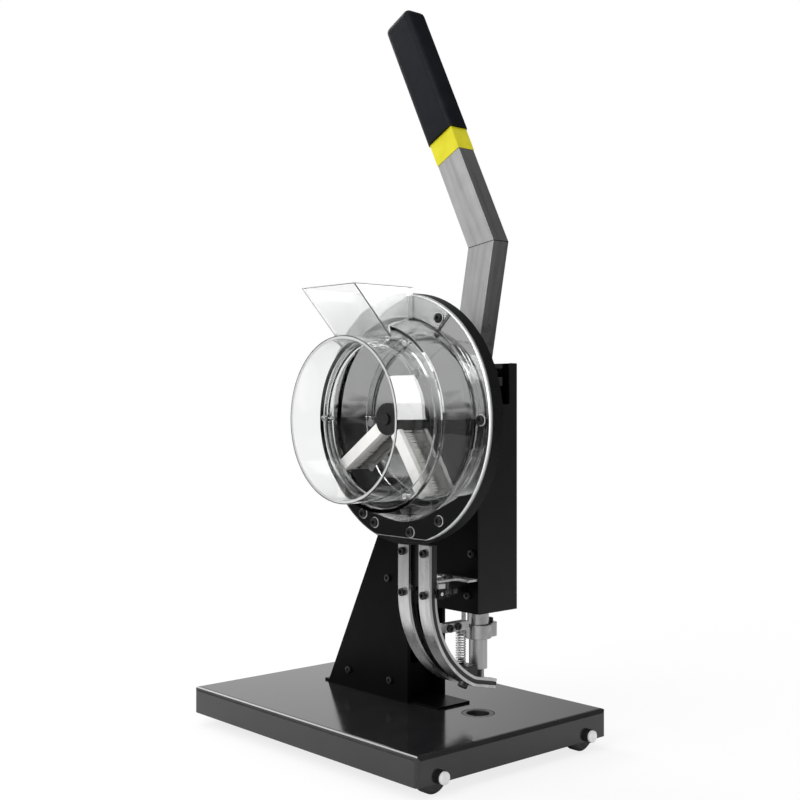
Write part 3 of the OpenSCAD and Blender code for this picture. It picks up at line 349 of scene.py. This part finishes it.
looks = {
    "pan_paint": surface("pan_paint", (0.011, 0.011, 0.012), (0.016, 0.016, 0.017), (0.09, 0.16), scale=35,
                         grain=0.05, grain_scale=1500),
    # near black, the shaded copy of the black paint that the front cover has lighter: painted shade on the
    # frame's sides
    "frame_paint": surface("frame_paint", grey(0.0015), grey(0.0025), (0.3, 0.36), scale=45,
                           grain=0.05, grain_scale=1900, ior=1.28, gloss=0.12),
    "wheel_rubber": surface("wheel_rubber", grey(0.02), grey(0.035), (0.5, 0.7), grain=0.3),
    "black_plastic": surface("black_plastic", grey(0.006), grey(0.01), (0.3, 0.45), grain=0.2),
    "disc_plastic": disc_plastic(),
    "bright_steel": surface("bright_steel", grey(0.66), grey(0.8), (0.14, 0.28), metal=1.0, scale=120),
    "plain_steel": surface("plain_steel", grey(0.3), grey(0.46), (0.26, 0.4), metal=1.0, scale=90,
                           grain=0.15),
    "strip_steel": surface("strip_steel", grey(0.4), grey(0.55), (0.24, 0.38), metal=1.0, scale=160,
                           stretch=(1, 1, 0.08), grain=0.1),
    "dark_steel": surface("dark_steel", grey(0.05), grey(0.1), (0.3, 0.5), metal=0.8, grain=0.15),
    "black_screw": surface("black_screw", grey(0.008), grey(0.014), (0.22, 0.36), metal=0.3, scale=200),
    "spring_steel": surface("spring_steel", grey(0.5), grey(0.62), (0.2, 0.32), metal=1.0, scale=200),
    "bush_brass": surface("bush_brass", (0.42, 0.28, 0.1), (0.55, 0.38, 0.16), (0.3, 0.42), metal=1.0),
    "hub_metal": surface("hub_metal", grey(0.012), grey(0.025), (0.25, 0.4), metal=0.5, grain=0.1),
    "brush_plastic": surface("brush_plastic", (0.8, 0.79, 0.77), (0.88, 0.87, 0.85), (0.35, 0.5), grain=0.15),
    "bristle": surface("bristle", (0.8, 0.79, 0.76), (0.9, 0.89, 0.86), (0.4, 0.55), scale=400),
    "yellow_tape": surface("yellow_tape", (0.6, 0.55, 0.008), (0.7, 0.645, 0.02), (0.24, 0.38),
                           grain=0.1, gloss=0.3),
    "grip_rubber": surface("grip_rubber", (0.003, 0.004, 0.0065), (0.006, 0.007, 0.0105), (0.42, 0.55),
                           grain=0.2, gloss=0.1),
    "lever_steel": brushed_lever(),
    "clear_plastic": clear_plastic("clear_plastic", (0.97, 0.975, 0.975), 1.38),
    "funnel_plastic": clear_plastic("funnel_plastic", (0.985, 0.988, 0.988), 1.2, 0.14),
    # lighter copy of the frame's black paint for the front cover: painted light on its lit front face
    "lit_cover_paint": surface("lit_cover_paint", grey(0.007), grey(0.009), (0.4, 0.5), scale=45, grain=0.1,
                           grain_scale=1900, gloss=0.25),
    "sleeve_steel": surface("sleeve_steel", grey(0.4), grey(0.54), (0.34, 0.46), metal=1.0, scale=110,
                            stretch=(1, 1, 0.1), grain=0.1),
    "white_cap": surface("white_cap", grey(0.78), grey(0.86), (0.3, 0.45), metal=0.2, scale=150),
    "bracket_steel": bracket_steel(),
    "keeper_steel": keeper_steel(),
    "joint_plastic": surface("joint_plastic", grey(0.14), grey(0.24), (0.3, 0.45), scale=300),
    "frosted_edge": surface("frosted_edge", grey(0.6), grey(0.75), (0.3, 0.45), scale=300),
}
# Nodes whose look differs from that of the rest of their slot. The front cover's black paint is a lighter
# copy of the frame's, painted light on its lit front.
finishes = {"front_cover": "lit_cover_paint", "funnel": "funnel_plastic", "punch_sleeve": "sleeve_steel",
            "brush_shaft": "hub_metal", "chute_bracket": "bracket_steel",
            "keeper_left": "keeper_steel", "keeper_right": "keeper_steel", "keeper_bridge": "black_screw"}
for part in frame["record"]["subparts"]:
    for holder in nodes[part["node"]].material_slots:
        holder.material = looks[finishes.get(part["node"], part["material_slot"])]


# Rounded edges on the CAD nodes

SAME_POINT = 0.01 * MM
FLAT_ANGLE = math.radians(0.4)
SHARP_ANGLE = math.radians(40)


def edges(width, names, segments=2):
    """Welds each node's faces, rounds its sharp edges by a width in mm and shades it evenly."""
    for name in names.split():
        o = nodes[name]
        w = o.modifiers.new("weld", "WELD")
        w.merge_threshold = SAME_POINT
        d = o.modifiers.new("flats", "DECIMATE")
        d.decimate_type = "DISSOLVE"
        d.angle_limit = FLAT_ANGLE
        b = o.modifiers.new("edges", "BEVEL")
        b.width = width * MM
        b.segments = segments
        b.limit_method = "ANGLE"
        b.angle_limit = SHARP_ANGLE
        o.modifiers.new("shade", "WEIGHTED_NORMAL")


edges(2.5, "lever_bar lever_tape", 3)
edges(0.6, "side_plate_left side_plate_right front_cover back_cover column_foot drum_disc")
edges(0.5, "drum_shell drum_neck funnel ram_collar")
edges(0.3, "chute_left chute_right chute_spacers chute_bracket")
edges(0.3, "keeper_left keeper_right keeper_bridge spring_shelf")
edges(0.4, "punch_sleeve die die_holder brush_hub brush_backs disc_posts bracket_bolt")


# Pieces built here

def piece(name, bm, slot, body, replaced=None, sharp=35, look=None):
    """Object of that mesh, shaded smooth between sharp edges.

    It rides on the body and stands for the CAD node, where these are named.
    """
    mesh = bpy.data.meshes.new(name)
    bm.to_mesh(mesh)
    bm.free()
    mesh.shade_smooth()
    mesh.set_sharp_from_angle(angle=math.radians(sharp))
    mesh.materials.append(looks[look or slot])
    o = bpy.data.objects.new(name, mesh)
    scene.collection.objects.link(o)
    if body:
        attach(o, body)
    if replaced:
        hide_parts(replaced)
    return o


def islands(name):
    """The corner points of each loose solid of a CAD node."""
    mesh = nodes[name].data
    keys = [tuple(round(c, 6) for c in v.co) for v in mesh.vertices]
    root = {k: k for k in keys}

    def find(k):
        while root[k] != k:
            root[k] = root[root[k]]
            k = root[k]
        return k

    for e in mesh.edges:
        root[find(keys[e.vertices[0]])] = find(keys[e.vertices[1]])
    groups = {}
    for k in root:
        groups.setdefault(find(k), []).append(Vector(k))
    return list(groups.values())


def top_of(points, way):
    """Matrix at the top of these points with Z along way, and their length and radius."""
    z = Vector(way).normalized()
    x = z.orthogonal().normalized()
    spans = [(a, min(p.dot(a) for p in points), max(p.dot(a) for p in points)) for a in (x, z.cross(x), z)]
    (x, x0, x1), (y, y0, y1), (z, z0, z1) = spans
    at = Matrix((x, y, z)).transposed().to_4x4()
    at.translation = x * (x0 + x1) / 2 + y * (y0 + y1) / 2 + z * z1
    return at, z1 - z0, (x1 - x0) / 2


def skin_over(bm, loops):
    """Faces from each loop of points to the next, with closed ends."""
    n = len(loops[0])
    for a, b in zip(loops, loops[1:]):
        for k in range(n):
            bm.faces.new((a[k], a[(k + 1) % n], b[(k + 1) % n], b[k]))
    bm.faces.new(loops[0][::-1])
    bm.faces.new(loops[-1])


def rings(bm, at, steps, n=24):
    """Closed form of rings about the matrix's Z, each a radius and a height.

    A third value makes a ring a hexagon.
    """
    loops = []
    for r, h, *six in steps:
        loop = []
        for k in range(n):
            a = math.tau * k / n
            q = r * math.cos(math.pi / 6) / math.cos(a % (math.pi / 3) - math.pi / 6) if six else r
            loop.append(bm.verts.new(at @ Vector((q * math.cos(a), q * math.sin(a), h))))
        loops.append(loop)
    skin_over(bm, loops)


def cap_screw(bm, at, length, head_r, head_t, shank_r):
    """Round head with a hexagon socket, below the matrix's origin."""
    c = 0.14 * head_r
    rings(bm, at, [
        (0.75 * shank_r, -length), (shank_r, 0.3 * shank_r - length), (shank_r, -head_t), (head_r, -head_t),
        (head_r, -c), (head_r - 0.3 * c, -0.3 * c), (head_r - c, 0), (0.6 * head_r, 0), (0.55 * head_r, 0, 6),
        (0.5 * head_r, -0.1 * head_t, 6), (0.5 * head_r, -0.65 * head_t, 6), (0.1 * head_r, -0.75 * head_t)])


def socket_screws(node, slot, body, shank_r, pose):
    """Replaces a CAD node's screws.

    From a screw's middle, pose gives its direction and its head's height in mm.
    """
    bm = bmesh.new()
    for points in islands(node):
        way, head_t = pose(sum(points, Vector()) / len(points))
        at, length, r = top_of(points, way)
        cap_screw(bm, at, length, r, head_t * MM, shank_r * MM)
    piece(node + "_made", bm, slot, body, node)


cover_x = sum(v[0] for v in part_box("front_cover")) / 2
BEND_LEAN = math.radians(59)  # of the screw under the chute's bend
BEND_TOP = 0.12  # that screw is below this height
bend_way = (-math.cos(BEND_LEAN), 0, -math.sin(BEND_LEAN))
socket_screws("flange_screws", "black_screw", "base", 2, lambda p: ((-1, 0, 0), 2.4))
socket_screws("neck_screws", "bright_steel", "base", 1.5, lambda p: ((-1, 0, 0), 2.4))
socket_screws("plate_screws", "black_screw", "base", 2, lambda p: ((-1 if p.x < cover_x else 1, 0, 0), 2.4))
socket_screws("chute_screws", "black_screw", "base", 2,
              lambda p: ((-1, 0, 0), 3.4) if p.z > BEND_TOP else (bend_way, 4.8))
socket_screws("collar_screw", "black_screw", "ram", 2, lambda p: ((0, 0, 1), 4))


def hoop(bm, at, r, wire, n=28, sides=8):
    """Round ring about the matrix's Z."""
    section = [(r + wire * math.cos(math.tau * j / sides), wire * math.sin(math.tau * j / sides))
               for j in range(sides)]
    loops = []
    for i in range(n):
        a = math.tau * i / n
        loops.append([bm.verts.new(at @ Vector((q * math.cos(a), q * math.sin(a), h))) for q, h in section])
    for i in range(n):
        a, b = loops[i], loops[(i + 1) % n]
        for j in range(sides):
            bm.faces.new((a[j], b[j], b[(j + 1) % sides], a[(j + 1) % sides]))


def screw_rims():
    """Frosted edges of the flange's screw holes."""
    bm = bmesh.new()
    for points in islands("flange_screws"):
        at, _, r = top_of(points, (-1, 0, 0))
        at.translation.x = FLANGE_X
        hoop(bm, at, r + 0.4 * MM, 0.3 * MM)
    piece("screw_rims", bm, "clear_plastic", "base", look="frosted_edge")


screw_rims()


def wheel_bolts():
    """Pale bolt heads with turned rings, their shanks and hexagon nuts."""
    nut_longest = 10 * MM
    bm = bmesh.new()
    for points in islands("wheel_bolts"):
        at, length, r = top_of(points, (0, -1, 0))
        if length < nut_longest:
            rings(bm, at, [(5.2 * MM, -length, 6), (5.5 * MM, 0.4 * MM - length, 6), (5.5 * MM, -0.4 * MM, 6),
                           (5.2 * MM, 0, 6)])
        else:
            rings(bm, at, [(2 * MM, -length), (2.5 * MM, 0.5 * MM - length), (2.5 * MM, -2.5 * MM),
                           (r, -2.5 * MM), (r, -0.5 * MM), (0.93 * r, -0.15 * MM), (0.74 * r, 0),
                           (0.7 * r, -0.3 * MM), (0.42 * r, -0.3 * MM), (0.38 * r, 0), (0.1 * r, 0)])
    piece("wheel_bolts_made", bm, "bright_steel", "base", "wheel_bolts", look="white_cap")


wheel_bolts()


def bracket_bolt():
    """Domed bolt through the bracket, with a threaded cross shaft and its nut."""
    low, high = (Vector(v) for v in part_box("bracket_bolt"))
    x, y = (low.x + high.x) / 2, (low.y + high.y) / 2
    bm = bmesh.new()
    rings(bm, Matrix.Translation((x, y, high.z)), [
        (2.6 * MM, low.z - high.z + 1 * MM), (3 * MM, low.z - high.z + 1.4 * MM), (3 * MM, -3.5 * MM),
        (5 * MM, -3.5 * MM), (5 * MM, -2 * MM), (4.4 * MM, -0.9 * MM), (3 * MM, -0.2 * MM), (1 * MM, 0)])
    shaft = Matrix.Translation((low.x, y, low.z + 4 * MM)) @ Matrix.Rotation(math.pi / 2, 4, "Y")
    length = high.x - low.x
    steps = [(3.4 * MM, 0)]
    h = 0.5 * MM
    while h < length - 1 * MM:
        steps += [(3.9 * MM, h), (3.4 * MM, h + 0.5 * MM)]
        h += 1 * MM
    rings(bm, shaft, steps + [(3.2 * MM, length)])
    rings(bm, shaft, [(5 * MM, 0.5 * length, 6), (5.4 * MM, 0.5 * length + 0.4 * MM, 6),
                      (5.4 * MM, 0.5 * length + 3.6 * MM, 6), (5 * MM, 0.5 * length + 4 * MM, 6)])
    piece("bracket_bolt_made", bm, "bright_steel", "base", "bracket_bolt", look="dark_steel")


bracket_bolt()


def shelf_screws():
    """Two dark screws on the front of the spring's arm."""
    head_t, length, shank_r = 2 * MM, 3 * MM, 1.5 * MM
    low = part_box("spring_shelf")[0]
    bm = bmesh.new()
    for along, z, r in ((4.5 * MM, 0.1207, 3.6 * MM), (14.5 * MM, 0.1215, 3.5 * MM)):
        at = Matrix.Translation((low[0] + along, low[1] - head_t, z)) @ Matrix.Rotation(math.pi / 2, 4, "X")
        cap_screw(bm, at, length, r, head_t, shank_r)
    piece("shelf_screws", bm, "black_screw", "base")


shelf_screws()


def tube(bm, points, radius, sides=10):
    """Round tube along a line of points, with closed ends."""
    loops, side = [], None
    for i, p in enumerate(points):
        along = (points[min(i + 1, len(points) - 1)] - points[max(i - 1, 0)]).normalized()
        side = (along.orthogonal() if side is None else side - along * side.dot(along)).normalized()
        up = along.cross(side)
        angles = [math.tau * k / sides for k in range(sides)]
        loops.append([bm.verts.new(p + radius * (math.cos(a) * side + math.sin(a) * up)) for a in angles])
    skin_over(bm, loops)


def spring(name, body, axis, wire, turns, closed=1.0, steps=24):
    """Coil in a CAD spring's box, along axis 0 or 2, with its end turns closed up."""
    low, high = (Vector(v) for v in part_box(name))
    centre = (low + high) / 2
    r = (high[1] - low[1]) / 2 - wire
    length = high[axis] - low[axis] - 2 * wire
    tight = 2.05 * wire
    pitch = (length - 2 * closed * tight) / (turns - 2 * closed)
    points = []
    for i in range(int(turns * steps) + 1):
        t = i / steps
        h = tight * min(t, closed) + pitch * min(max(t - closed, 0), turns - 2 * closed) \
            + tight * max(t - turns + closed, 0)
        c, s = r * math.cos(math.tau * t), r * math.sin(math.tau * t)
        h += low[axis] + wire
        at = (h, centre.y + c, centre.z + s) if axis == 0 else (centre.x + c, centre.y + s, h)
        points.append(Vector(at))
    bm = bmesh.new()
    tube(bm, points, wire)
    return piece(name + "_coil", bm, "spring_steel", body, name, sharp=60), centre, high


keeper_coil, spring_at, spring_top = spring("keeper_spring", None, 2, 0.6 * MM, 14, 1.25)
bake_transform(keeper_coil)
pilot_coil, spring_at, spring_top = spring("pilot_spring", "ram", 2, 0.55 * MM, 7)
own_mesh(pilot_coil)
spring("return_spring", "base", 0, 0.6 * MM, 4, 0.5)


def funnel_joints():
    """Glue line down the funnel's near corner, and the dull cut edges of its panels."""
    low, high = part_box("funnel")
    slant = Vector((40.0, 0, -43.2)) * MM  # down the near corner, and 1.17 times as far down the far one
    near = Vector((low.x + 0.7 * MM, low.y, high.z - 0.3 * MM))
    far = Vector((near.x, high.y, near.z))
    right = Vector((high.x, low.y, near.z))
    bm = bmesh.new()
    lines = ((near, near + slant, 0.7), (far, far + 1.17 * slant, 0.4), (near, far, 0.35), (near, right, 0.3))
    for a, b, r in lines:
        tube(bm, (a, b), r * MM)
    piece("funnel_joints", bm, "clear_plastic", "base", look="joint_plastic")


funnel_joints()


BRUSH_TURNS = (-34, -125)  # of the two arms about the drum's axis, in degrees


def bristles():
    """Dense tapered bristles on both brush arms, each with its own lean."""
    columns, rows = 46, 8
    angles = [math.tau * k / 4 for k in range(4)]
    first, length, width = 15.6, 59.0, 9.2  # of the field along and across an arm, in mm
    scatter, spread, uneven = 0.3, 0.25, 0.8  # of the roots, the lean and the ends, in mm
    taper = ((0, 0.42), (0.6, 0.36), (1, 0.16))  # radius in mm at each share of the length
    rng = random.Random(7)
    bm = bmesh.new()
    root_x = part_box("brush_bristles")[0][0]
    tip_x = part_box("brush_bristles")[1][0]
    for turn in BRUSH_TURNS:
        arm = Matrix.Translation((0, AXIS_Y, AXIS_Z)) @ Matrix.Rotation(math.radians(turn), 4, "X")
        for i in range(columns):
            for j in range(rows):
                y = (first + length * i / (columns - 1) + rng.uniform(-scatter, scatter)) * MM
                z = (j / (rows - 1) - 0.5) * width * MM + rng.uniform(-scatter, scatter) * MM
                lean = (rng.gauss(0, spread) * MM, rng.gauss(0, spread) * MM)
                end = tip_x - rng.uniform(0, uneven) * MM
                loops = []
                for t, r in taper:
                    loops.append([bm.verts.new(arm @ Vector((
                        root_x + (end - root_x) * t,
                        y + lean[0] * t * t + r * MM * math.cos(a),
                        z + lean[1] * t * t + r * MM * math.sin(a)))) for a in angles])
                skin_over(bm, loops)
    piece("bristles", bm, "bristle", "brush", "brush_bristles", sharp=80)


bristles()


# Stage

def make_world():
    """Room that is white to the camera, even for soft light, and for metal dimmer at the front right.

    Through the drum, what lies below the horizon at the back left is dark.
    """
    dim_way, back_left = (0.8, -0.6, -0.15), (-0.665, 0.747, 0)
    ground = grey(0.03)
    world = bpy.data.worlds.new("world")
    scene.world = world
    world.use_nodes = True
    nt = world.node_tree
    lp = add(nt, "ShaderNodeLightPath").outputs
    direction = add(nt, "ShaderNodeTexCoord").outputs["Generated"]
    split = add(nt, "ShaderNodeSeparateXYZ")
    nt.links.new(direction, split.inputs[0])
    level = math_node(nt, "ADD", math_node(nt, "MULTIPLY", split.outputs[2], 50.0), 0.8)
    level.node.use_clamp = True
    walls = ramp(nt, dot(nt, direction, dim_way), [(0.0, 1.0), (0.35, 0.16)])
    fill = blend(nt, lp["Is Glossy Ray"], grey(0.7), blend(nt, level, ground, walls))
    open_side = ramp(nt, dot(nt, direction, back_left), [(0.45, 1.0), (0.6, 0.0)])
    through = blend(nt, math_node(nt, "MAXIMUM", level, open_side), ground, grey(1.0))
    fill = blend(nt, lp["Is Transmission Ray"], fill, through)
    nt.links.new(blend(nt, lp["Is Camera Ray"], fill, grey(1.0)), nt.nodes["Background"].inputs["Color"])


def make_floor():
    """Pale round floor that keeps the shadow and turns white towards its edge."""
    floor_r = 1.2
    bm = bmesh.new()
    bmesh.ops.create_circle(bm, cap_ends=True, radius=floor_r, segments=96)
    mesh = bpy.data.meshes.new("floor")
    bm.to_mesh(mesh)
    bm.free()
    floor = bpy.data.objects.new("floor", mesh)
    scene.collection.objects.link(floor)
    m, nt, p = tree("floor")
    mesh.materials.append(m)
    p.inputs["Base Color"].default_value = (*grey(0.9), 1)
    p.inputs["Roughness"].default_value = 0.8
    p.inputs["Specular IOR Level"].default_value = 0.0
    lp = add(nt, "ShaderNodeLightPath").outputs
    far = add(nt, "ShaderNodeVectorMath", operation="LENGTH")
    nt.links.new(coords(nt), far.inputs[0])
    white = ramp(nt, math_node(nt, "DIVIDE", far.outputs["Value"], floor_r), [(0.25, 0.8), (0.85, 1.0)])
    seen = math_node(nt, "MAXIMUM", lp["Is Camera Ray"], lp["Is Transmission Ray"])
    glow = add(nt, "ShaderNodeEmission", in_Color=(1, 1, 1, 1))
    mix = add(nt, "ShaderNodeMixShader")
    nt.links.new(math_node(nt, "MULTIPLY", seen, white), mix.inputs["Fac"])
    nt.links.new(p.outputs[0], mix.inputs[1])
    nt.links.new(glow.outputs[0], mix.inputs[2])
    nt.links.new(mix.outputs[0], nt.nodes["Material Output"].inputs["Surface"])


def lamp(name, at, target, size, watts, only=()):
    """Soft lamp that points at a target. It may light only some of the nodes."""
    d = bpy.data.lights.new(name, "AREA")
    d.shape = "RECTANGLE"
    d.size, d.size_y = size
    d.energy = watts
    o = bpy.data.objects.new(name, d)
    scene.collection.objects.link(o)
    o.location = at
    o.rotation_euler = (Vector(target) - Vector(at)).to_track_quat("-Z", "Y").to_euler()
    if only:
        lit = bpy.data.collections.new(name)
        for n in only:
            lit.objects.link(nodes[n])
        o.light_linking.receiver_collection = lit


make_world()
make_floor()
lamp("key", (-1.7, -0.3, 1.5), (0, 0, 0.3), (1.2, 1.2), 22)
lamp("back", (0.0, 1.5, 1.4), (0, 0, 0.05), (0.9, 0.9), 16)
# The window that the drum mirrors
lamp("window", (0.7, -0.68, 0.775), (-0.1, -0.08, 0.775), (0.8, 0.93), 30,
     ("drum_shell", "drum_neck", "funnel"))
